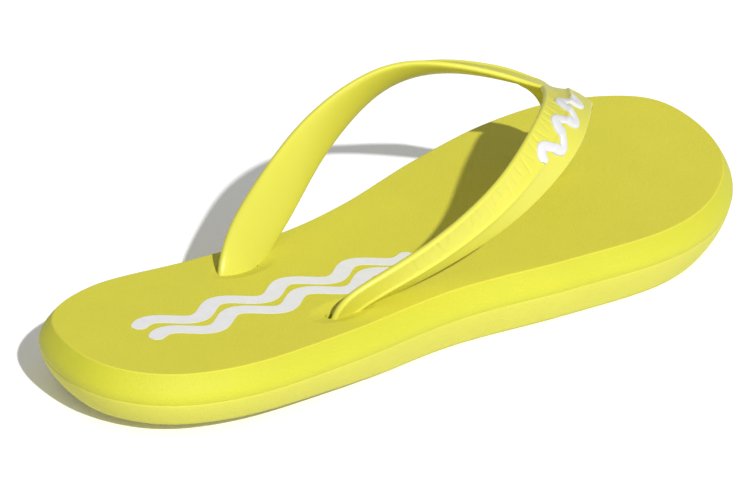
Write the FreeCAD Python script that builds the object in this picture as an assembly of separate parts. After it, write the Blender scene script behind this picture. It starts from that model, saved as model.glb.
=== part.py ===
# Flip flop for the right foot, in millimetres.
# +X runs from heel to toe, +Y to the inner side of the foot, +Z up. The origin is on the ground under the middle.
import FreeCAD, Part
import math
import os

from FreeCAD import Vector

# --- driving dimensions -------------------------------------------------------------------------------------
FOOTBED_TOP = 20.0          # height of the footbed above the ground
GLUE_LINE = 11.5            # height of the joint between the two foam layers
TOE_SPRING = 4.0            # rise of the footbed at the toe tip
TOE_SPRING_START = 55.0     # x where the footbed starts to rise
HEEL_LIFT = 3.4             # the rolled heel's clearance under its back edge
TOE_LIFT = 6.0              # the same under the toe tip
FLAT_TREAD = (-40.0, 65.0)  # x range of the tread that lies on the ground
SOLE_REACH = 142.0          # half length of the blocks that trim the layers

# Rim of the footbed's top face, anticlockwise from the back of the heel along the outer side.
RIM = [
    (-135.0, 0.0), (-127.0, -21.0), (-104.0, -32.3), (-66.0, -35.3), (-20.0, -35.2), (22.0, -42.3),
    (62.0, -46.7), (92.0, -40.0), (118.0, -21.5), (132.5, 5.0), (132.5, 26.0), (112.0, 42.5),
    (80.0, 46.7), (42.0, 41.0), (0.0, 31.0), (-32.0, 27.6), (-66.0, 30.8), (-100.0, 35.9), (-125.0, 26.5),
]

# Side walls as (height, how far the outline stands outside the rim).
FOOTBED_WALL = [(GLUE_LINE, 3.0), (13.5, 3.6), (17.0, 2.4), (FOOTBED_TOP, 0.0), (25.0, -2.0)]
OUTSOLE_WALL = [(-1.0, -3.0), (4.0, -0.6), (8.5, 2.0), (GLUE_LINE, 3.0)]

# Strap: the middle of its two rear anchors, the nose that its arms run to, and the foot of its toe post.
ANCHOR_MIDDLE = Vector(-56.0, -3.0, 0.0)
NOSE = Vector(84.0, 9.0, 0.0)
POST_FOOT = Vector(69.0, 7.7, 0.0)

# Stations of one strap arm, from the rear slot to the nose over the toe post:
# (fraction of the way to the nose, distance from the middle line, height,
#  lean of the band: 90 stands on edge and 0 lies flat, half width, depth of the crowned inner face)
ARM = [
    (-0.012, 19.5, 13.5, 100.0, 7.0, 1.6),
    (-0.002, 20.3, 19.0, 107.0, 8.4, 1.9),
    (0.068, 25.0, 24.9, 117.0, 8.3, 2.1),
    (0.208, 31.2, 31.6, 109.0, 8.8, 2.1),
    (0.388, 36.5, 42.8, 88.0, 8.9, 1.8),
    (0.574, 33.3, 54.1, 58.0, 8.8, 1.5),
    (0.717, 22.4, 55.3, 19.0, 7.8, 1.5),
    (0.842, 9.6, 50.4, 0.0, 8.5, 1.5),
    (0.900, 5.5, 47.0, -3.0, 8.1, 1.5),
    (0.938, 4.0, 40.3, 0.0, 6.3, 1.5),
    (0.946, 2.6, 31.0, 0.0, 4.2, 1.5),
]
BAND_EDGE = 0.9             # half thickness of the band at its edges
BAND_RIDGE = 2.7            # height of the ridge on the outer face

SLOT_LENGTH = 17.5
SLOT_WIDTH = 7.0
SLOT_MIDDLE_X = -55.8
DISH_LENGTH = 25.0
DISH_WIDTH = 12.5
DISH_DEPTH = 1.3
DISH_MIDDLE_X = -56.5
TOE_HOLE_RADIUS = 4.0
TOE_DISH_RADIUS = 5.8
TOE_DISH_DEPTH = 0.8
STEM_RADIUS = 3.8
STEM_HOLE_RADIUS = 4.3
PLUG_RADIUS = 7.0
PLUG_THICKNESS = 3.2
PLUG_SEAT_RADIUS = 7.7
PLUG_SEAT_TOP = 5.0

# The toe post above its plug: (height, lean forward, radius).
TOE_POST = [(21.0, 0.0, 3.8), (25.0, 1.6, 3.9), (30.0, 4.4, 4.1), (37.0, 7.4, 4.6)]

FLEX_GROOVES = (8.0, 75.0)  # x of the two grooves that run right across the tread
GROOVE_WIDTH = 3.0
GROOVE_DEPTH = 1.3
TREAD_PITCH = 11.0

BADGE_FROM = 4.55           # arm stations between which the raised mark runs
BADGE_TO = 6.2
BADGE_HALF_WIDTH = 1.5
BADGE_HEIGHT = 0.9
BADGE_SWAY = 3.2            # how far the wave swings to each side
BADGE_WAVES = 3


# --- small helpers ------------------------------------------------------------------------------------------
def rim_wire(height, grow):
    """The rim's outline at one height, pushed outwards by grow."""
    points = []
    for i, (x, y) in enumerate(RIM):
        before = RIM[i - 1]
        after = RIM[(i + 1) % len(RIM)]
        along = Vector(after[0] - before[0], after[1] - before[1], 0).normalize()
        points.append(Vector(x + along.y * grow, y - along.x * grow, height))
    curve = Part.BSplineCurve()
    curve.interpolate(Points=points, PeriodicFlag=True)
    return Part.Wire([curve.toShape()])


def wall_solid(levels):
    """A solid whose side wall runs through the outline at each (height, grow)."""
    return Part.makeLoft([rim_wire(height, grow) for height, grow in levels], True, False)


def profile_block(edges):
    """A block as wide as the sole, whose side view is the closed chain of edges."""
    face = Part.Face(Part.Wire(edges))
    face.translate(Vector(0, -SOLE_REACH, 0))
    return face.extrude(Vector(0, 2 * SOLE_REACH, 0))


def side_point(x, z):
    return Vector(x, 0, z)


def line(a, b):
    return Part.LineSegment(a, b).toShape()


def spline(points):
    curve = Part.BSplineCurve()
    curve.interpolate(Points=points)
    return curve.toShape()


def oblong(centre_x, centre_y, length, width, low, high):
    """An upright prism with round ends, long along X."""
    radius = width / 2
    half = length / 2 - radius
    corners = [
        Vector(centre_x - half, centre_y - radius, low),
        Vector(centre_x + half, centre_y - radius, low),
        Vector(centre_x + half, centre_y + radius, low),
        Vector(centre_x - half, centre_y + radius, low),
    ]
    nose = Vector(centre_x + half + radius, centre_y, low)
    tail = Vector(centre_x - half - radius, centre_y, low)
    wire = Part.Wire([
        line(corners[0], corners[1]),
        Part.Arc(corners[1], nose, corners[2]).toShape(),
        line(corners[2], corners[3]),
        Part.Arc(corners[3], tail, corners[0]).toShape(),
    ])
    return Part.Face(wire).extrude(Vector(0, 0, high - low))


def dish(centre_x, centre_y, length, width, depth, rim_height):
    """A shallow bowl-shaped hollow whose mouth is length by width at rim_height."""
    ball = Part.makeSphere(1.0)
    matrix = FreeCAD.Matrix()
    matrix.scale(length / 2, width / 2, depth)
    bowl = ball.transformGeometry(matrix)
    bowl.translate(Vector(centre_x, centre_y, rim_height))
    return bowl


# --- strap geometry -----------------------------------------------------------------------------------------
MIDDLE_LINE = NOSE - ANCHOR_MIDDLE
SIDEWAYS = Vector(-MIDDLE_LINE.y, MIDDLE_LINE.x, 0).normalize()


def arm_centre(side, station):
    """Centre of the band at one station; side is +1 for the inner arm and -1 for the outer arm."""
    fraction, spread, height = station[:3]
    return ANCHOR_MIDDLE + MIDDLE_LINE * fraction + SIDEWAYS * (side * spread) + Vector(0, 0, height)


def station_at(place):
    """The arm's station at a whole or part number, on a smooth curve through its neighbours."""
    low = min(int(place), len(ARM) - 2)
    t = place - low
    four = [ARM[max(low - 1, 0)], ARM[low], ARM[low + 1], ARM[min(low + 2, len(ARM) - 1)]]
    blend = []
    for a, b, c, d in zip(*four):
        slope_in = (c - a) / 2
        slope_out = (d - b) / 2
        step = c - b
        blend.append(b + slope_in * t + (3 * step - 2 * slope_in - slope_out) * t**2
                     + (slope_in + slope_out - 2 * step) * t**3)
    return tuple(blend)


def band_frame(side, place):
    """Centre, direction across the band (towards its upper edge), outward direction and half width."""
    station = station_at(place)
    ahead = station_at(min(place + 0.5, len(ARM) - 1))
    behind = station_at(max(place - 0.5, 0))
    along = (arm_centre(side, ahead) - arm_centre(side, behind)).normalize()
    level = (SIDEWAYS - along * SIDEWAYS.dot(along)).normalize()
    upright = along.cross(level)
    lean = math.radians(station[3])
    across = level * (-side * math.cos(lean)) + upright * math.sin(lean)
    outward = level * (side * math.sin(lean)) + upright * math.cos(lean)
    return arm_centre(side, station), across, outward, station[4]


def band_section(side, place):
    centre, across, outward, half_width = band_frame(side, place)
    back = station_at(place)[5]
    corners = [
        (half_width, BAND_EDGE), (0.0, BAND_RIDGE), (-half_width, BAND_EDGE),
        (-half_width, -BAND_EDGE), (-0.6 * half_width, -0.75 * back), (0.0, -back), (0.6 * half_width, -0.75 * back),
        (half_width, -BAND_EDGE),
    ]
    return Part.makePolygon([centre + across * b + outward * n for b, n in corners + corners[:1]])


def roof_height(offset, half_width):
    """Height of the band's outer face at an offset from its ridge."""
    return BAND_RIDGE + (BAND_EDGE - BAND_RIDGE) * abs(offset) / half_width


# --- the pieces ---------------------------------------------------------------------------------------------
def make_footbed():
    springs = spline([
        side_point(TOE_SPRING_START, FOOTBED_TOP),
        side_point(95.0, FOOTBED_TOP + 0.25 * TOE_SPRING),
        side_point(134.0, FOOTBED_TOP + TOE_SPRING),
        side_point(SOLE_REACH, FOOTBED_TOP + 1.2 * TOE_SPRING),
    ])
    low_back = side_point(-SOLE_REACH, GLUE_LINE)
    low_front = side_point(SOLE_REACH, GLUE_LINE)
    high_back = side_point(-SOLE_REACH, FOOTBED_TOP)
    flat_end = side_point(TOE_SPRING_START, FOOTBED_TOP)
    high_front = side_point(SOLE_REACH, FOOTBED_TOP + 1.2 * TOE_SPRING)
    block = profile_block([
        line(low_back, low_front), line(low_front, high_front), springs,
        line(flat_end, high_back), line(high_back, low_back),
    ])
    body = wall_solid(FOOTBED_WALL).common(block)
    for side in (1, -1):
        y = arm_centre(side, ARM[1]).y
        body = body.cut(dish(DISH_MIDDLE_X, y, DISH_LENGTH, DISH_WIDTH, DISH_DEPTH, FOOTBED_TOP))
        body = body.cut(oblong(SLOT_MIDDLE_X, y, SLOT_LENGTH, SLOT_WIDTH, GLUE_LINE - 1, FOOTBED_TOP + 1))
    toe_top = FOOTBED_TOP + 0.3
    body = body.cut(dish(POST_FOOT.x, POST_FOOT.y, 2 * TOE_DISH_RADIUS, 2 * TOE_DISH_RADIUS, TOE_DISH_DEPTH, toe_top))
    hole_start = Vector(POST_FOOT.x, POST_FOOT.y, GLUE_LINE - 1)
    return body.cut(Part.makeCylinder(TOE_HOLE_RADIUS, FOOTBED_TOP, hole_start))


def plug_places():
    """Where the strap's three stems go down through the sole."""
    rear = [arm_centre(side, ARM[0]) for side in (1, -1)]
    return [Vector(p.x, p.y, 0) for p in rear + [POST_FOOT]]


def make_outsole():
    heel_roll = spline([
        side_point(-SOLE_REACH, HEEL_LIFT),
        side_point(-110.0, 0.78 * HEEL_LIFT),
        side_point(-75.0, 0.33 * HEEL_LIFT),
        side_point(FLAT_TREAD[0], 0.0),
    ])
    toe_roll = spline([
        side_point(FLAT_TREAD[1], 0.0),
        side_point(100.0, 0.3 * TOE_LIFT),
        side_point(SOLE_REACH, TOE_LIFT),
    ])
    block = profile_block([
        heel_roll,
        line(side_point(FLAT_TREAD[0], 0.0), side_point(FLAT_TREAD[1], 0.0)),
        toe_roll,
        line(side_point(SOLE_REACH, TOE_LIFT), side_point(SOLE_REACH, GLUE_LINE)),
        line(side_point(SOLE_REACH, GLUE_LINE), side_point(-SOLE_REACH, GLUE_LINE)),
        line(side_point(-SOLE_REACH, GLUE_LINE), side_point(-SOLE_REACH, HEEL_LIFT)),
    ])
    body = wall_solid(OUTSOLE_WALL).common(block)
    for place in plug_places():
        below = place - Vector(0, 0, 1)
        body = body.cut(Part.makeCylinder(PLUG_SEAT_RADIUS, PLUG_SEAT_TOP + 1, below))
        body = body.cut(Part.makeCylinder(STEM_HOLE_RADIUS, GLUE_LINE + 2, below))
    for x in FLEX_GROOVES:
        start = Vector(x - GROOVE_WIDTH / 2, -SOLE_REACH, -1)
        body = body.cut(Part.makeBox(GROOVE_WIDTH, 2 * SOLE_REACH, GROOVE_DEPTH + 1, start))
    return body.cut(tread_grooves())


def tread_grooves():
    """Short grooves across the flat of the tread, clear of the plugs and of the edge."""
    grooves = []
    count = int((FLAT_TREAD[1] - FLAT_TREAD[0]) / TREAD_PITCH)
    for i in range(count):
        x = FLAT_TREAD[0] + TREAD_PITCH * (i + 0.5)
        if min(abs(x - groove) for groove in FLEX_GROOVES) > GROOVE_WIDTH + 2:
            grooves.append(oblong_across(x, 0.0, 44.0, GROOVE_WIDTH * 0.7))
    return Part.makeCompound(grooves)


def oblong_across(x, y, length, width):
    groove = oblong(0, 0, length, width, -1, GROOVE_DEPTH)
    groove.rotate(Vector(0, 0, 0), Vector(0, 0, 1), 90)
    groove.translate(Vector(x, y, 0))
    return groove


def make_strap():
    body = None
    for side in (1, -1):
        arm = Part.makeLoft([band_section(side, i) for i in range(len(ARM))], True, False)
        body = arm if body is None else body.fuse(arm)
    plug_low = PLUG_SEAT_TOP - PLUG_THICKNESS
    tops = [ARM[0][2] + 1.5, ARM[0][2] + 1.5, TOE_POST[0][0]]
    for place, top in zip(plug_places(), tops):
        base = place + Vector(0, 0, plug_low)
        body = body.fuse(Part.makeCylinder(STEM_RADIUS, top - plug_low, base))
        body = body.fuse(Part.makeCylinder(PLUG_RADIUS, PLUG_THICKNESS, base))
    return body.fuse(toe_post())


def toe_post():
    """The post leans forward from the footbed into the nose of the strap."""
    forward = Vector(MIDDLE_LINE).normalize()
    rings = []
    for height, lean, radius in TOE_POST:
        middle = POST_FOOT + forward * lean + Vector(0, 0, height)
        rings.append(Part.Wire([Part.makeCircle(radius, middle)]))
    return Part.makeLoft(rings, True, False)


def make_strap_badge(strap):
    """A raised wave that runs along the ridge of the outer arm, near the toe."""
    steps = 8 * BADGE_WAVES
    sections = []
    for i in range(steps + 1):
        place = BADGE_FROM + (BADGE_TO - BADGE_FROM) * i / steps
        centre, across, outward, half_width = band_frame(-1, place)
        middle = BADGE_SWAY * math.sin(2 * math.pi * BADGE_WAVES * i / steps)
        corners = []
        for offset, lift in ((1, -0.5), (-1, -0.5), (-1, BADGE_HEIGHT), (1, BADGE_HEIGHT)):
            b = middle + offset * BADGE_HALF_WIDTH
            corners.append(centre + across * b + outward * (roof_height(b, half_width) + lift))
        sections.append(Part.makePolygon(corners + corners[:1]))
    return Part.makeLoft(sections, True, True).cut(strap)


def main():
    os.makedirs("parts", exist_ok=True)
    strap = make_strap()
    pieces = {
        "outsole": make_outsole(),
        "footbed": make_footbed().cut(strap),
        "strap": strap,
        "strap_badge": make_strap_badge(strap),
    }
    for name, shape in pieces.items():
        box = shape.optimalBoundingBox(False)
        print(name, "valid", shape.isValid(), "solids", len(shape.Solids), "volume cm3", round(shape.Volume / 1000, 1),
              "box", [round(v, 1) for v in (box.XMin, box.XMax, box.YMin, box.YMax, box.ZMin, box.ZMax)])
        shape.exportStep("parts/" + name + ".step")


main()
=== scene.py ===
# Flip flop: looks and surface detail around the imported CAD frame. Lengths are metres unless they end in _MM.
import math

import bmesh
import bpy
import numpy as np
from mathutils import Matrix, Vector


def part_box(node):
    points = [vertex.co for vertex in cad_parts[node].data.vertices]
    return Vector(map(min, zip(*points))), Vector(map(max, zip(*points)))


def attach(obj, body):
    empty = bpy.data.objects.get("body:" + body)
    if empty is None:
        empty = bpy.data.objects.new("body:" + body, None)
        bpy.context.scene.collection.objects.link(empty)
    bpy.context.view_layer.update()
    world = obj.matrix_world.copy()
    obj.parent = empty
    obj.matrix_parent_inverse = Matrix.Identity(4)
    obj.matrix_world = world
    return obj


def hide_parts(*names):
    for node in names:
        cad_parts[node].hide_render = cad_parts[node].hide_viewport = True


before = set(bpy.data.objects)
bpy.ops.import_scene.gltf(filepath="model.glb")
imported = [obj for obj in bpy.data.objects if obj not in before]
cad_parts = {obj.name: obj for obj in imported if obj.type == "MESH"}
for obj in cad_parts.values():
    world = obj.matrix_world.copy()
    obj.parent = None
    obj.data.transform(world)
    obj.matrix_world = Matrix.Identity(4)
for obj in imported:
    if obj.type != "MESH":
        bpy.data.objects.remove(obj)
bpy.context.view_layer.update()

MM = 0.001

# --- sizes that come from the frame -------------------------------------------------------------------------
FOOTBED_LOW, FOOTBED_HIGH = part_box("footbed")
GLUE_MM = FOOTBED_LOW.z / MM            # joint between the two foam layers
TOE_TOP_MM = FOOTBED_HIGH.z / MM        # highest point of the sprung toe
FOOTBED_TOP_MM = 20.0                   # the flat of the footbed
TOE_SPRING_MM = TOE_TOP_MM - FOOTBED_TOP_MM
TOE_SPRING_START_MM = 55.0
TOE_SPRING_END_MM = 137.7
TOE_SPRING_POWER = 1.9
HEEL_LIFT_MM = 3.4
TOE_LIFT_MM = 6.0
FLAT_TREAD_MM = (-40.0, 65.0)
HEEL_ROLL_LENGTH_MM = 102.0
TOE_ROLL_LENGTH_MM = 77.0
HEEL_ROLL_BULGE = 0.45                  # how much faster the heel rises at first than a straight slope
HEEL_ROLL_START = 6                     # one over the share of the roll in which it eases in

# Rim of the footbed's top face, anticlockwise from the back of the heel along the outer side.
RIM_MM = np.array([
    (-135.0, 0.0), (-127.0, -21.0), (-104.0, -32.3), (-66.0, -35.3), (-20.0, -35.2), (22.0, -42.3),
    (62.0, -46.7), (92.0, -40.0), (118.0, -21.5), (132.5, 5.0), (132.5, 26.0), (112.0, 42.5),
    (80.0, 46.7), (42.0, 41.0), (0.0, 31.0), (-32.0, 27.6), (-66.0, 30.8), (-100.0, 35.9), (-125.0, 26.5),
])

# Strap: the middle of its rear anchors, the nose that its arms run to, the foot of its toe post, and the
# stations of one arm as (fraction of the way to the nose, distance from the middle line, height, lean, half
# width, depth of the crowned back).
ANCHOR_MIDDLE_MM = np.array([-56.0, -3.0, 0.0])
NOSE_MM = np.array([84.0, 9.0, 0.0])
POST_FOOT_MM = np.array([69.0, 7.7, 0.0])
ARM = np.array([
    (-0.012, 19.5, 13.5, 100.0, 7.0, 1.6),
    (-0.002, 20.3, 19.0, 107.0, 8.4, 1.9),
    (0.068, 25.0, 24.9, 117.0, 8.3, 2.1),
    (0.208, 31.2, 31.6, 109.0, 8.8, 2.1),
    (0.388, 36.5, 42.8, 88.0, 8.9, 1.8),
    (0.574, 33.3, 54.1, 58.0, 8.8, 1.5),
    (0.717, 22.4, 55.3, 19.0, 7.8, 1.5),
    (0.842, 9.6, 50.4, 0.0, 8.5, 1.5),
    (0.900, 5.5, 47.0, -3.0, 8.1, 1.5),
    (0.938, 4.0, 40.3, 0.0, 6.3, 1.5),
    (0.946, 2.6, 31.0, 0.0, 4.2, 1.5),
])
MIDDLE_LINE_MM = NOSE_MM - ANCHOR_MIDDLE_MM
SIDEWAYS = np.array([-MIDDLE_LINE_MM[1], MIDDLE_LINE_MM[0], 0.0]) / np.linalg.norm(MIDDLE_LINE_MM)

# The slots and the toe hole are narrower than the strap that enters them, so that their edges stay hidden.
SLOT_X_MM = -56.9
SLOT_HALF_LENGTH_MM = 5.6
SLOT_RADIUS_MM = 1.6
DISH_X_MM = -56.5
DISH_MM = (13.0, 6.6, 1.2)              # half length, half width, depth
TOE_HOLE_RADIUS_MM = 3.6
TOE_DISH_MM = (6.2, 6.2, 0.8)
HOLE_FLOOR_MM = 0.4                     # height of the holes' floors above the joint
HOLE_EDGE_MM = 0.35                     # how near a hole's edge a point has to be to move onto it
SEAT_EDGE_MM = 0.4
PLUG_SEAT_RADIUS_MM = 7.7
PLUG_SEAT_TOP_MM = 5.0
SHARP_CORNER_DEGREES = 42


# --- curves -------------------------------------------------------------------------------------------------
def smooth_path(points, places, closed=False):
    """Points of a smooth curve through the given ones, at whole or part numbers."""
    count = len(points)
    low = np.floor(places).astype(int)
    if not closed:
        low = np.clip(low, 0, count - 2)
    t = (places - low)[:, None]

    def row(shift):
        index = low + shift
        return points[index % count] if closed else points[np.clip(index, 0, count - 1)]

    a, b, c, d = row(-1), row(0), row(1), row(2)
    slope_in = (c - a) / 2
    slope_out = (d - b) / 2
    step = c - b
    bend = (3 * step - 2 * slope_in - slope_out) * t**2
    return b + slope_in * t + bend + (slope_in + slope_out - 2 * step) * t**3


def eased_path(points, places):
    """A smooth open path, averaged over 0.6 of a step each way so that it has no kinks."""
    last = len(points) - 1
    total = 0
    for shift, weight in ((-0.6, 1), (-0.3, 4), (0, 6), (0.3, 4), (0.6, 1)):
        total = total + weight * smooth_path(points, np.clip(places + shift, 0, last))
    return total / 16


def unit(vectors):
    return vectors / np.maximum(np.linalg.norm(vectors, axis=-1, keepdims=True), 1e-9)


def spaced_rim(spacing):
    """The rim as a closed line whose points are spacing(x) apart, with outward directions."""
    fine = smooth_path(RIM_MM, np.arange(0, len(RIM_MM), 0.002), closed=True)
    steps = np.linalg.norm(np.roll(fine, -1, axis=0) - fine, axis=1) / spacing(fine[:, 0])
    travelled = np.concatenate([[0], np.cumsum(steps)])
    half = travelled[np.argmax(fine[:, 0])]
    per_side = int(half)
    there = np.linspace(0, half, per_side, endpoint=False)
    back = np.linspace(half, travelled[-1], per_side, endpoint=False)
    looped = np.vstack([fine, fine[:1]])
    marks = np.concatenate([there, back])
    rim = np.stack([np.interp(marks, travelled, looped[:, k]) for k in (0, 1)], axis=1)
    along = unit(np.roll(rim, -1, axis=0) - np.roll(rim, 1, axis=0))
    return rim, np.stack([along[:, 1], -along[:, 0]], axis=1)


def toe_spring(x):
    """How far the footbed's surface has risen towards the toe."""
    length = TOE_SPRING_END_MM - TOE_SPRING_START_MM
    reach = (np.maximum(x, TOE_SPRING_START_MM) - TOE_SPRING_START_MM) / length
    return TOE_SPRING_MM * reach**TOE_SPRING_POWER


def tread_height(x):
    """Height of the sole's underside above the ground: flat in the middle, rolled at both ends."""
    heel = np.clip((FLAT_TREAD_MM[0] - x) / HEEL_ROLL_LENGTH_MM, 0, 1)
    toe = np.clip((x - FLAT_TREAD_MM[1]) / TOE_ROLL_LENGTH_MM, 0, 1)
    roll = heel * (1 + HEEL_ROLL_BULGE - HEEL_ROLL_BULGE * heel) * np.minimum(heel * HEEL_ROLL_START, 1)
    return HEEL_LIFT_MM * roll + TOE_LIFT_MM * toe**1.5


# --- meshes -------------------------------------------------------------------------------------------------
def new_object(name, points_mm, faces, material):
    """A smooth-shaded piece with its faces turned outwards and its real corners kept sharp."""
    mesh = bpy.data.meshes.new(name)
    mesh.from_pydata((np.asarray(points_mm) * MM).tolist(), [], faces)
    mesh.validate()
    work = bmesh.new()
    work.from_mesh(mesh)
    bmesh.ops.recalc_face_normals(work, faces=work.faces)
    work.to_mesh(mesh)
    work.free()
    mesh.polygons.foreach_set("use_smooth", [True] * len(mesh.polygons))
    mesh.set_sharp_from_angle(angle=math.radians(SHARP_CORNER_DEGREES))
    mesh.materials.append(material)
    mesh.update()
    thing = bpy.data.objects.new(name, mesh)
    bpy.context.scene.collection.objects.link(thing)
    return thing


def grid_faces(rows, columns, close_rows=False, close_columns=False, start=0):
    """Quads of a grid of points stored row by row."""
    faces = []
    for r in range(rows if close_rows else rows - 1):
        for c in range(columns if close_columns else columns - 1):
            here = start + r * columns
            above = start + (r + 1) % rows * columns
            right = (c + 1) % columns
            faces.append((here + c, here + right, above + right, above + c))
    return faces


def slot_middles():
    """Where the two slots are, as (x, y)."""
    return [(SLOT_X_MM, arm_points(side, np.array([1.0]))[0][0][1]) for side in (1, -1)]


def oblong_distance(x, y, middle, half_length, radius):
    """Distance outside a slot with round ends; negative inside it."""
    along = np.maximum(np.abs(x - middle[0]) - (half_length - radius), 0)
    return np.hypot(along, y - middle[1]) - radius


def across_fill(rim, columns):
    """Points inside a closed rim, in rows from its outer side to its inner side."""
    half = len(rim) // 2
    outer = rim[:half + 1]
    inner = np.vstack([rim[:1], rim[:half - 1:-1]])
    share = np.linspace(0, 1, columns)[None, :, None]
    return outer[:, None, :] * (1 - share) + inner[:, None, :] * share


def snap_to_hole(x, y, distance, gradient, reach):
    """Moves the points nearest a hole's edge onto it, so that the edge is smooth."""
    near = np.abs(distance) < reach
    shift = np.where(near, distance - np.where(distance >= 0, 0.06, -0.06), 0)
    return x - gradient[0] * shift, y - gradient[1] * shift


def cut_hole(x, y, z, distance_at, reach, floor):
    """Sinks the points inside a hole to its floor, with a clean edge."""
    d = distance_at(x, y)
    step = 0.01
    gx = (distance_at(x + step, y) - distance_at(x - step, y)) / (2 * step)
    gy = (distance_at(x, y + step) - distance_at(x, y - step)) / (2 * step)
    x, y = snap_to_hole(x, y, d, (gx, gy), reach)
    return x, y, np.where(d < 0, floor, z)


def bowl(x, y, middle, half_length, half_width, depth):
    """Depth of a shallow bowl-shaped hollow."""
    r2 = ((x - middle[0]) / half_length) ** 2 + ((y - middle[1]) / half_width) ** 2
    return depth * np.clip(1 - r2, 0, 1) ** 1.5


# --- strap geometry -----------------------------------------------------------------------------------------
def arm_points(side, places):
    """Centre, direction across the band to its upper edge, outward direction and half width at each place."""
    def centres(at):
        fraction, spread, height = eased_path(ARM[:, :3], at).T
        flat = ANCHOR_MIDDLE_MM + fraction[:, None] * MIDDLE_LINE_MM + SIDEWAYS * (side * spread)[:, None]
        return flat + np.stack([0 * height, 0 * height, height], axis=1)

    lean, half_width = eased_path(ARM[:, 3:5], places).T
    lean = np.radians(lean)[:, None]
    along = unit(centres(places + 0.25) - centres(places - 0.25))
    level = unit(SIDEWAYS - along * (along @ SIDEWAYS)[:, None])
    upright = np.cross(along, level)
    across = level * (-side * np.cos(lean)) + upright * np.sin(lean)
    outward = level * (side * np.sin(lean)) + upright * np.cos(lean)
    return centres(places), across, outward, half_width


# The band's section, as (share of the half width from lower edge to upper edge, height in mm).
OUTER_FACE = np.array([
    (-1.00, 0.00), (-0.985, 0.45), (-0.95, 0.80), (-0.90, 1.00), (-0.70, 1.42), (-0.40, 1.98),
    (-0.14, 2.42), (-0.05, 2.68), (0.00, 2.80), (0.05, 2.62), (0.11, 2.18), (0.20, 1.98),
    (0.30, 1.80), (0.40, 1.64), (0.50, 1.50), (0.60, 1.38), (0.70, 1.28), (0.80, 1.20),
    (0.88, 1.14), (0.93, 1.10), (0.96, 0.98), (0.985, 0.70), (1.00, 0.15),
])
# The inner face, as (share of the half width, share of the depth of the crown).
INNER_FACE = np.array([
    (0.99, -0.15), (0.95, -0.35), (0.85, -0.58), (0.50, -0.88), (0.0, -1.00), (-0.50, -0.88), (-0.85, -0.58),
    (-0.95, -0.35), (-0.99, -0.12),
])
# Towards the nose the band flattens, its lower edge curls under, and the inner arm's lower half narrows.
NOSE_STATIONS = (6.6, 7.6)
NOSE_FLATTENING = 0.45
NOSE_CURL_MM = 2.6
NOSE_CURL_START = 0.2                   # share of the half width, below the ridge, at which the curl starts
INNER_ARM_NARROWING = 0.42
HATCH_PITCH_MM = 3.3
HATCH_DEPTH_MM = 0.38
HATCH_HALF_WIDTH_MM = 0.5
HATCH_STATIONS = (2.2, 6.6)
HATCH_END = 0.94                        # share of the half width at which the lines stop
HATCH_FADE = 0.08


def hatch_depth(travel, places, share, half_width):
    """Depth of the short lines pressed across the band's upper panel, varied from line to line."""
    stroke = np.floor(travel / HATCH_PITCH_MM)[:, None]
    slant = 0.22 + 0.20 * np.sin(2.4 * stroke)
    strength = 0.75 + 0.25 * np.sin(1.7 * stroke + 1.0)
    start = 0.12 + 0.14 * (1 + np.sin(2.1 * stroke))
    off = travel[:, None] - (stroke + 0.5) * HATCH_PITCH_MM + slant * (share - 0.5) * half_width[:, None]
    line = np.clip(1 - np.abs(off) / HATCH_HALF_WIDTH_MM, 0, 1)
    inside = np.clip((share - start) / HATCH_FADE, 0, 1) * np.clip((HATCH_END - share) / HATCH_FADE, 0, 1)
    first, last = HATCH_STATIONS
    within = np.clip((places - first) / 0.5, 0, 1) * np.clip((last - places) / 0.3, 0, 1)
    return HATCH_DEPTH_MM * strength * line * inside * within[:, None]


def swept_arm(side, rows=720, samples=2):
    """Points and faces of one arm of the strap, closed at both ends."""
    outer_count = (len(OUTER_FACE) - 1) * samples + 1
    corners = np.vstack([OUTER_FACE, INNER_FACE])
    section = smooth_path(corners, np.arange(0, len(corners), 1 / samples), closed=True)
    is_outer = np.arange(len(section)) < outer_count
    share, height = section.T
    places = np.linspace(0, len(ARM) - 1, rows)
    centre, across, outward, half_width = arm_points(side, places)
    crown = eased_path(ARM[:, 5:], places)
    to_nose = np.clip((places - NOSE_STATIONS[0]) / (NOSE_STATIONS[1] - NOSE_STATIONS[0]), 0, 1)[:, None]
    to_nose = to_nose**2 * (3 - 2 * to_nose)
    lift = np.where(is_outer, height * (1 - NOSE_FLATTENING * to_nose), height * crown)
    curl = np.clip((-share - NOSE_CURL_START) / (1 - NOSE_CURL_START), 0, 1) ** 2
    lift = lift - NOSE_CURL_MM * to_nose * curl
    travel = np.concatenate([[0], np.cumsum(np.linalg.norm(np.diff(centre, axis=0), axis=1))])
    lift = lift - np.where(is_outer, hatch_depth(travel, places, share[None, :], half_width), 0)
    narrowing = INNER_ARM_NARROWING * to_nose * (share < 0) * (side > 0)
    reach = half_width[:, None] * share * (1 - narrowing)
    points = (centre[:, None, :] + across[:, None, :] * reach[..., None]
              + outward[:, None, :] * lift[..., None])
    columns = len(section)
    faces = grid_faces(rows, columns, close_columns=True)
    faces.append(tuple(range(columns)))
    faces.append(tuple(range((rows - 1) * columns, rows * columns)))
    return points.reshape(-1, 3), faces


def stem(rings, columns=44, samples=3):
    """Points and faces of a round solid through rings of (x, y, height, radius)."""
    rings = smooth_path(np.array(rings), np.arange(0, len(rings) - 1 + 1e-9, 1 / samples))
    angles = np.linspace(0, 2 * math.pi, columns, endpoint=False)
    circle = np.stack([np.cos(angles), np.sin(angles), 0 * angles], axis=1)
    points = rings[:, None, :3] + circle[None] * rings[:, None, 3:]
    faces = grid_faces(len(rings), columns, close_columns=True)
    faces.append(tuple(range(columns)))
    faces.append(tuple(range((len(rings) - 1) * columns, len(rings) * columns)))
    return points.reshape(-1, 3), faces


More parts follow.
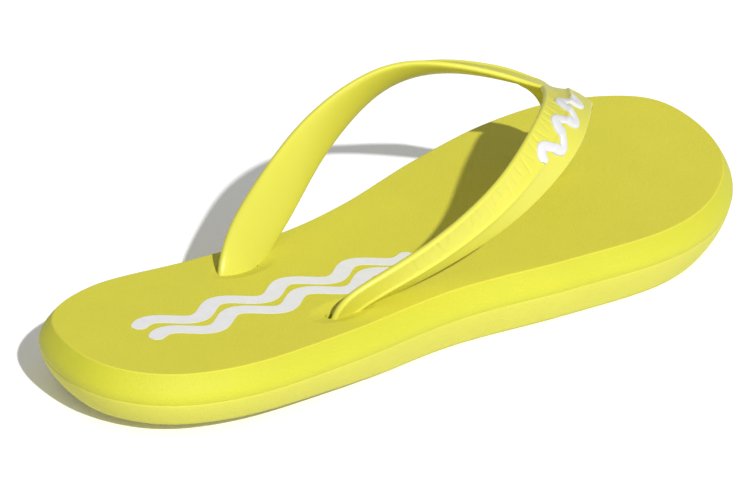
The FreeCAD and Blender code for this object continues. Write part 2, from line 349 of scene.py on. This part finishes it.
# A plug disc as (height, radius), and the toe post above its plug as (height, lean forward, radius).
PLUG = [
    (1.8, 5.9), (1.95, 6.6), (2.4, 6.95), (3.4, 7.0), (4.4, 6.95), (4.85, 6.6), (5.0, 5.9), (5.05, 4.6),
    (5.6, 3.9),
]
POST_LEAN = [
    (12.0, 0.0, 3.8), (20.0, 0.0, 3.8), (24.0, 1.1, 3.9), (28.0, 3.1, 4.0), (32.0, 5.3, 4.3),
    (37.0, 7.4, 4.6),
]
POST_SIDEWAYS = 0.09                    # how far the post leans to the inner side, per mm of lean forward
REAR_STEM_TOP_MM = 15.0
REAR_STEM_RADIUS_MM = 3.8


def rear_stem(middle):
    rings = [(middle[0], middle[1], height, radius) for height, radius in PLUG]
    return stem(rings + [(middle[0], middle[1], REAR_STEM_TOP_MM, REAR_STEM_RADIUS_MM)])


def toe_post():
    """The post leans forward from the footbed into the nose of the strap."""
    x, y = POST_FOOT_MM[:2]
    rings = [(x, y, height, radius) for height, radius in PLUG]
    rings += [(x + lean, y + POST_SIDEWAYS * lean, height, radius) for height, lean, radius in POST_LEAN]
    return stem(rings)


# --- materials ----------------------------------------------------------------------------------------------
def principled(name, colour, roughness):
    """A new material with its shader, ready for the colour and bump nodes."""
    material = bpy.data.materials.new(name)
    material.use_nodes = True
    shader = material.node_tree.nodes["Principled BSDF"]
    shader.inputs["Base Color"].default_value = (*colour, 1)
    shader.inputs["Roughness"].default_value = roughness
    return material, shader


def add_node(material, kind, **values):
    node = material.node_tree.nodes.new(kind)
    for name, value in values.items():
        if name in node.inputs:
            node.inputs[name].default_value = value
        else:
            setattr(node, name, value)
    return node


def join(material, output, target):
    material.node_tree.links.new(output, target)


def object_noise(material, scale, detail=2.0, roughness=0.5):
    """Noise fixed to the object, with scale in features per metre."""
    place = add_node(material, "ShaderNodeTexCoord")
    noise = add_node(material, "ShaderNodeTexNoise", Scale=scale, Detail=detail, Roughness=roughness)
    join(material, place.outputs["Object"], noise.inputs["Vector"])
    return noise.outputs["Fac"]


def ramp(material, value, stops):
    """Colour ramp from a value; stops are (place, colour)."""
    node = add_node(material, "ShaderNodeValToRGB")
    while len(node.color_ramp.elements) < len(stops):
        node.color_ramp.elements.new(0.5)
    for element, (place, colour) in zip(node.color_ramp.elements, stops):
        element.position = place
        element.color = (*colour, 1)
    join(material, value, node.inputs["Fac"])
    return node.outputs["Color"]


def bump(material, shader, height, strength, distance):
    node = add_node(material, "ShaderNodeBump", Strength=strength, Distance=distance)
    join(material, height, node.inputs["Height"])
    join(material, node.outputs["Normal"], shader.inputs["Normal"])


def shade(colour, factor):
    return tuple(min(channel * factor, 1.0) for channel in colour)


FOOTBED_YELLOW = (0.630, 0.590, 0.050)
# The side wall is the same foam as the top. Its colour is partly the foam's own yellow and partly painted
# shade: it is a darker copy of the top's yellow with less blue.
WALL_YELLOW_AND_PAINTED_SHADE = (0.515, 0.510, 0.030)
OUTSOLE_YELLOW = (0.550, 0.533, 0.065)
STRAP_YELLOW = (0.585, 0.562, 0.062)
PRINT_WHITE = (0.73, 0.73, 0.735)
MARK_WHITE = (0.60, 0.60, 0.61)


def foam_material(name, colour, grain, strength, roughness):
    """Closed-cell foam: soft blotches of colour, and cells that show as fine grain."""
    material, shader = principled(name, colour, roughness)
    blotches = object_noise(material, 60, detail=4.0, roughness=0.6)
    tint = ramp(material, blotches, [(0.30, shade(colour, 0.985)), (0.70, shade(colour, 1.015))])
    cells = object_noise(material, grain, detail=3.0, roughness=0.65)
    speck = ramp(material, cells, [(0.34, (0.965, 0.96, 0.94)), (0.55, (1.0, 1.0, 1.0))])
    mixed = add_node(material, "ShaderNodeMix", data_type="RGBA", blend_type="MULTIPLY")
    mixed.inputs[0].default_value = 1.0
    join(material, tint, mixed.inputs[6])
    join(material, speck, mixed.inputs[7])
    join(material, mixed.outputs[2], shader.inputs["Base Color"])
    bump(material, shader, cells, strength, 0.0004)
    shader.inputs["Specular IOR Level"].default_value = 0.35
    return material


def strap_material():
    """Satin moulded rubber."""
    material, shader = principled("strap_rubber", STRAP_YELLOW, 0.42)
    cloud = object_noise(material, 45, detail=3.0)
    tint = ramp(material, cloud, [(0.3, shade(STRAP_YELLOW, 0.985)), (0.7, shade(STRAP_YELLOW, 1.015))])
    join(material, tint, shader.inputs["Base Color"])
    bump(material, shader, object_noise(material, 2600, detail=2.0), 0.10, 0.0002)
    shader.inputs["Specular IOR Level"].default_value = 0.45
    return material


def white_material(name, colour, roughness, grain):
    material, shader = principled(name, colour, roughness)
    cloud = object_noise(material, 300, detail=4.0)
    tint = ramp(material, cloud, [(0.3, shade(colour, 0.97)), (0.7, shade(colour, 1.02))])
    join(material, tint, shader.inputs["Base Color"])
    bump(material, shader, object_noise(material, grain, detail=3.0), 0.25, 0.0003)
    return material


# --- footbed ------------------------------------------------------------------------------------------------
# Side wall as (height above the joint as a share of the layer, outward reach in mm); the joint comes first.
FOOTBED_WALL = np.array([
    (0.00, 3.0), (0.02, 3.1), (0.06, 3.25), (0.12, 3.42), (0.22, 3.6), (0.35, 3.5), (0.50, 3.05),
    (0.65, 2.35), (0.80, 1.45), (0.90, 0.75), (0.97, 0.24), (0.992, 0.06), (1.00, -0.12),
])
OUTSOLE_WALL = np.array([
    (0.00, -3.1), (0.025, -2.3), (0.07, -1.6), (0.18, -0.7), (0.32, 0.3), (0.48, 1.25), (0.64, 2.05),
    (0.80, 2.65), (0.92, 3.0), (0.975, 3.08), (1.00, 3.0),
])
FOOTBED_COLUMNS = 170
RIM_FINE_MM = 0.45
RIM_COARSE_MM = 1.3
SLOT_ZONE_MM = 14
TOE_HOLE_ZONE_MM = 9
TOP_EDGE_RINGS = 2                      # the wall's last rings have the colour of the top


def rim_spacing(x):
    """Finer steps where the rim passes the strap's holes."""
    near_slots = np.abs(x - SLOT_X_MM) < SLOT_ZONE_MM
    near_toe_hole = np.abs(x - POST_FOOT_MM[0]) < TOE_HOLE_ZONE_MM
    return np.where(near_slots | near_toe_hole, RIM_FINE_MM, RIM_COARSE_MM)


def wall_rings(rim, outward, levels, height_at):
    """Rings of the side wall at each level, lowest first."""
    rings = []
    for share, reach in levels:
        plan = rim + outward * reach
        rings.append(np.column_stack([plan, height_at(plan[:, 0], share)]))
    return rings


def layer(rim, outward, levels, height_at, face_at, columns, upward):
    """Points and faces of one sole layer: its wall, and its worn face filled by face_at."""
    rings = wall_rings(rim, outward, levels, height_at)
    edge = levels[-1][1] if upward else levels[0][1]
    plan = across_fill(rim + outward * edge, columns)
    x, y, z = face_at(plan[..., 0].copy(), plan[..., 1].copy())
    count = len(rim)
    points = np.vstack(rings + [np.stack([x, y, z], axis=-1).reshape(-1, 3)])
    faces = grid_faces(len(rings), count, close_columns=True)
    start = len(rings) * count
    half = count // 2
    fill = grid_faces(half, columns, start=start)
    ring_start = (len(rings) - 1) * count if upward else 0
    weld = {}
    for r in range(half):
        weld[start + r * columns] = ring_start + r
        weld[start + r * columns + columns - 1] = ring_start + (count - r) % count
    fill = [tuple(weld.get(v, v) for v in face) for face in fill]
    if not upward:
        fill = [face[::-1] for face in fill]
    tip = [ring_start + half]
    last_row = range(start + (half - 1) * columns, start + half * columns)
    last = [weld.get(v, v) for v in last_row]
    fan = [(last[c], last[c + 1], tip[0]) for c in range(columns - 1)]
    faces += fill + (fan if upward else [face[::-1] for face in fan])
    cap = list(range(count)) if upward else list(range((len(rings) - 1) * count, len(rings) * count))
    faces.append(tuple(cap[::-1] if upward else cap))
    return points, [tuple(dict.fromkeys(face)) for face in faces if len(set(face)) > 2]


def footbed_height(x, share):
    top = FOOTBED_TOP_MM + toe_spring(x)
    return GLUE_MM + share * (top - GLUE_MM)


def footbed_surface(x, y):
    """Height of the face that the foot stands on, with its dished hollows but without the holes."""
    z = footbed_height(x, 1.0)
    for middle in slot_middles():
        z = z - bowl(x, y, (DISH_X_MM, middle[1]), *DISH_MM)
    return z - bowl(x, y, POST_FOOT_MM[:2], *TOE_DISH_MM)


def footbed_top(x, y):
    """The face the foot stands on, with the slots and the toe hole."""
    z = footbed_surface(x, y)
    toe_middle = POST_FOOT_MM[:2]
    for middle in slot_middles():
        def slot_distance(a, b, middle=middle):
            return oblong_distance(a, b, middle, SLOT_HALF_LENGTH_MM, SLOT_RADIUS_MM)
        x, y, z = cut_hole(x, y, z, slot_distance, HOLE_EDGE_MM, GLUE_MM + HOLE_FLOOR_MM)

    def toe_distance(a, b):
        return np.hypot(a - toe_middle[0], b - toe_middle[1]) - TOE_HOLE_RADIUS_MM
    return cut_hole(x, y, z, toe_distance, HOLE_EDGE_MM, GLUE_MM + HOLE_FLOOR_MM)


def make_footbed():
    rim, outward = spaced_rim(rim_spacing)
    points, faces = layer(rim, outward, FOOTBED_WALL, footbed_height, footbed_top, FOOTBED_COLUMNS, True)
    material = foam_material("footbed_foam", FOOTBED_YELLOW, 2200, 0.6, 0.62)
    footbed = new_object("footbed_skin", points, faces, material)
    # The wall's material uses the darker wall colour, which paints shade onto the sides of the footbed.
    wall = foam_material("footbed_wall_foam_painted_shade", WALL_YELLOW_AND_PAINTED_SHADE, 1900, 0.5, 0.6)
    footbed.data.materials.append(wall)
    wall_faces = (len(FOOTBED_WALL) - 1) * len(rim)
    index = np.zeros(len(footbed.data.polygons), dtype=np.int32)
    index[:wall_faces - TOP_EDGE_RINGS * len(rim)] = 1
    footbed.data.polygons.foreach_set("material_index", index)
    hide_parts("footbed")
    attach(footbed, "root")
    return footbed


# --- outsole ------------------------------------------------------------------------------------------------
GROOVE_DEPTH_MM = 1.3
GROOVE_PITCH_MM = 9.0
GROOVE_HALF_WIDTH_MM = 1.5
GROOVE_SLOPE_MM = 0.7                   # width of a groove's sloping side
GROOVE_SWING_MM = 2.6
GROOVE_WAVE_MM = 5.2                    # wavelength over two pi
PLAIN_EDGE_MM = 7.0
PLAIN_ROUND_PLUG_MM = 11.0
FLEX_GROOVES_MM = (8.0, 75.0)
FLEX_HALF_WIDTH_MM = 1.9
PLAIN_ROUND_FLEX_MM = 5.0
TREAD_EDGE_INSET_MM = 3.0
OUTSOLE_SPACING_MM = 0.8
OUTSOLE_COLUMNS = 110


def outsole_height(x, share):
    low = tread_height(x)
    return low + share * (GLUE_MM - low)


def groove_depth(x, y):
    """Depth of the tread's grooves: waves across the sole, and two straight flex grooves."""
    wave = x + GROOVE_SWING_MM * np.sin(y / GROOVE_WAVE_MM)
    off = np.abs((wave / GROOVE_PITCH_MM) % 1.0 - 0.5) * GROOVE_PITCH_MM
    groove = np.clip((GROOVE_HALF_WIDTH_MM - off) / GROOVE_SLOPE_MM, 0, 1)
    border = np.clip(rim_inset(x, y) - PLAIN_EDGE_MM, 0, 1)
    flex = np.zeros_like(x)
    for place in FLEX_GROOVES_MM:
        flex = np.maximum(flex, np.clip((FLEX_HALF_WIDTH_MM - np.abs(x - place)) / GROOVE_SLOPE_MM, 0, 1))
        groove = np.where(np.abs(x - place) < PLAIN_ROUND_FLEX_MM, 0, groove)
    for middle in plug_middles():
        from_plug = np.hypot(x - middle[0], y - middle[1])
        border = np.minimum(border, np.clip(from_plug - PLAIN_ROUND_PLUG_MM, 0, 1))
    return GROOVE_DEPTH_MM * np.maximum(groove * border, flex)


def rim_inset(x, y):
    """Rough distance inside the tread's outline."""
    rim = smooth_path(RIM_MM, np.arange(0, len(RIM_MM), 0.1), closed=True)
    nearest = np.full(x.shape, 1e9)
    for point in rim:
        nearest = np.minimum(nearest, np.hypot(x - point[0], y - point[1]))
    return nearest - TREAD_EDGE_INSET_MM


def plug_middles():
    rear = [arm_points(side, np.array([0.0]))[0][0][:2] for side in (1, -1)]
    return rear + [POST_FOOT_MM[:2]]


def tread(x, y):
    z = tread_height(x) + groove_depth(x, y)
    for middle in plug_middles():
        def seat_distance(a, b, middle=middle):
            return np.hypot(a - middle[0], b - middle[1]) - PLUG_SEAT_RADIUS_MM
        x, y, z = cut_hole(x, y, z, seat_distance, SEAT_EDGE_MM, PLUG_SEAT_TOP_MM)
    return x, y, z


def make_outsole():
    rim, outward = spaced_rim(lambda x: np.full_like(x, OUTSOLE_SPACING_MM))
    points, faces = layer(rim, outward, OUTSOLE_WALL, outsole_height, tread, OUTSOLE_COLUMNS, False)
    material = foam_material("outsole_foam", OUTSOLE_YELLOW, 1900, 0.5, 0.6)
    outsole = new_object("outsole_skin", points, faces, material)
    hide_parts("outsole")
    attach(outsole, "root")
    return outsole


# --- strap --------------------------------------------------------------------------------------------------
def make_strap():
    parts = [swept_arm(1), swept_arm(-1), toe_post()]
    parts += [rear_stem(middle) for middle in plug_middles()[:2]]
    points, faces, start = [], [], 0
    for part_points, part_faces in parts:
        points.append(part_points)
        faces += [tuple(v + start for v in face) for face in part_faces]
        start += len(part_points)
    strap = new_object("strap_moulding", np.vstack(points), faces, strap_material())
    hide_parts("strap")
    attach(strap, "root")


# --- the raised mark on the strap ---------------------------------------------------------------------------
def outer_face_height(share):
    return np.interp(share, OUTER_FACE[:, 0], OUTER_FACE[:, 1])


MARK_STATIONS = (4.55, 6.2)
MARK_SWAY_MM = 3.2
MARK_HALF_WIDTH_MM = 1.7
MARK_WAVES = 3


def make_mark(rows=150):
    """A raised white wave along the outer arm, near the toe."""
    places = np.linspace(*MARK_STATIONS, rows)
    centre, across, outward, half_width = arm_points(-1, places)
    travel = np.concatenate([[0], np.cumsum(np.linalg.norm(np.diff(centre, axis=0), axis=1))])
    phase = travel / travel[-1] * MARK_WAVES * 2 * math.pi
    sway = MARK_SWAY_MM * np.sin(phase)
    slope = MARK_SWAY_MM * MARK_WAVES * 2 * math.pi / travel[-1] * np.cos(phase)
    along = np.cross(across, outward)
    along *= np.sign(np.sum(along * np.gradient(centre, axis=0), axis=1))[:, None]
    taper = np.sqrt(np.clip(1 - np.abs(travel / travel[-1] * 2 - 1) ** 50, 0, 1))
    section = [(-1.0, -0.4), (-1.0, 0.35), (-0.9, 0.62), (-0.65, 0.8), (0.0, 0.88), (0.65, 0.8), (0.9, 0.62),
               (1.0, 0.35), (1.0, -0.4)]
    rings = []
    for offset, lift in section:
        reach = offset * MARK_HALF_WIDTH_MM * taper / np.hypot(1, slope)
        b = sway + reach
        height = outer_face_height(b / half_width) + lift
        back = along * (reach * slope)[:, None]
        rings.append(centre + across * b[:, None] + outward * height[:, None] - back)
    points = np.stack(rings, axis=1).reshape(-1, 3)
    columns = len(section)
    faces = grid_faces(rows, columns, close_columns=True)
    faces.append(tuple(range(columns)))
    faces.append(tuple(range((rows - 1) * columns, rows * columns)))
    rubber = white_material("white_rubber", MARK_WHITE, 0.4, 2500)
    mark = new_object("strap_wave_mark", points, faces, rubber)
    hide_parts("strap_badge")
    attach(mark, "root")


# --- the print on the footbed -------------------------------------------------------------------------------
PRINT_LIFT_MM = 0.07
PRINT_ROOT_MM = -0.3


def make_print(name, ink, start, end, offset, half_width=2.6, swing=3.2, waves=4.0, rows=200):
    """A printed wave between two points of the footbed, offset sideways from the line between them."""
    start, end = np.array(start), np.array(end)
    length = np.linalg.norm(end - start)
    along = (end - start) / length
    side = np.array([-along[1], along[0]])
    share = np.linspace(0, 1, rows)
    phase = share * waves * 2 * math.pi
    slope = swing * waves * 2 * math.pi * np.cos(phase) / length
    middle = start + np.outer(share, end - start) + np.outer(offset + swing * np.sin(phase), side)
    normal = unit(side[None, :] - along[None, :] * slope[:, None])
    taper = np.sqrt(np.clip(1 - np.abs(share * 2 - 1) ** 50, 0, 1))
    section = [(-1.0, PRINT_ROOT_MM), (-1.0, PRINT_LIFT_MM), (-0.5, PRINT_LIFT_MM), (0.0, PRINT_LIFT_MM),
               (0.5, PRINT_LIFT_MM), (1.0, PRINT_LIFT_MM), (1.0, PRINT_ROOT_MM)]
    across, lift = np.array(section).T
    reach = across[None, :] * (half_width * taper)[:, None]
    plan = middle[:, None, :] + normal[:, None, :] * reach[..., None]
    height = footbed_surface(plan[..., 0], plan[..., 1]) + lift
    columns = len(section)
    faces = grid_faces(rows, columns, close_columns=True)
    faces.append(tuple(range(columns)))
    faces.append(tuple(range((rows - 1) * columns, rows * columns)))
    mark = new_object(name, np.dstack([plan, height]).reshape(-1, 3), faces, ink)
    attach(mark, "root")


# --- stage --------------------------------------------------------------------------------------------------
CAMERA_AZIMUTH = -47.44
CAMERA_ELEVATION = 23.4
CAMERA_ROLL = 2.94
CAMERA_DISTANCE = 1.4
CAMERA_TARGET = Vector((0.00459, 0.02114, 0.010))
CAMERA_LENS = 219.2


def make_camera():
    azimuth, elevation, roll = map(math.radians, (CAMERA_AZIMUTH, CAMERA_ELEVATION, CAMERA_ROLL))
    back = Vector((math.sin(azimuth) * math.cos(elevation), -math.cos(azimuth) * math.cos(elevation),
                   math.sin(elevation)))
    level = Vector((math.cos(azimuth), math.sin(azimuth), 0))
    upright = back.cross(level)
    right = level * math.cos(roll) + upright * math.sin(roll)
    up = upright * math.cos(roll) - level * math.sin(roll)
    camera = bpy.data.objects.new("camera", bpy.data.cameras.new("camera"))
    camera.data.lens = CAMERA_LENS
    camera.data.clip_end = 100
    place = CAMERA_TARGET + back * CAMERA_DISTANCE
    camera.matrix_world = Matrix((
        (right.x, up.x, back.x, place.x),
        (right.y, up.y, back.y, place.y),
        (right.z, up.z, back.z, place.z),
        (0, 0, 0, 1),
    ))
    bpy.context.scene.collection.objects.link(camera)
    bpy.context.scene.camera = camera


SUN_TOWARDS = Vector((-0.506, -1.178, 1.0)).normalized()
SUN_STRENGTH = 3.78
SKY_STRENGTH = 0.36
FLOOR_SIZE = 30.0
FLOOR_Z = -0.00005


def make_stage():
    floor_mesh = bpy.data.meshes.new("floor")
    half = FLOOR_SIZE / 2
    corners = [(-half, -half, FLOOR_Z), (half, -half, FLOOR_Z), (half, half, FLOOR_Z), (-half, half, FLOOR_Z)]
    floor_mesh.from_pydata(corners, [], [(0, 1, 2, 3)])
    material, shader = principled("floor_paper", (0.97, 0.97, 0.97), 0.9)
    shader.inputs["Specular IOR Level"].default_value = 0.0
    shader.inputs["Emission Color"].default_value = (1, 1, 1, 1)
    shader.inputs["Emission Strength"].default_value = 0.065
    floor_mesh.materials.append(material)
    floor = bpy.data.objects.new("floor", floor_mesh)
    bpy.context.scene.collection.objects.link(floor)
    sun = bpy.data.objects.new("sun", bpy.data.lights.new("sun", "SUN"))
    sun.data.energy = SUN_STRENGTH
    sun.data.angle = math.radians(1.6)
    sun.rotation_euler = SUN_TOWARDS.to_track_quat("Z", "Y").to_euler()
    bpy.context.scene.collection.objects.link(sun)
    world = bpy.data.worlds.new("sky")
    world.use_nodes = True
    world.node_tree.nodes["Background"].inputs["Color"].default_value = (1, 1, 1, 1)
    world.node_tree.nodes["Background"].inputs["Strength"].default_value = SKY_STRENGTH
    bpy.context.scene.world = world
    bpy.context.scene.view_settings.view_transform = "Standard"


make_camera()
make_stage()
make_outsole()
make_footbed()
make_strap()
make_mark()
INK = white_material("print_ink", PRINT_WHITE, 0.55, 2200)
PRINT_START_MM, PRINT_END_MM = (-112.0, 1.0), (-12.0, -11.5)
make_print("print_wave_inner", INK, PRINT_START_MM, PRINT_END_MM, 4.2)
make_print("print_wave_outer", INK, PRINT_START_MM, PRINT_END_MM, -4.2)
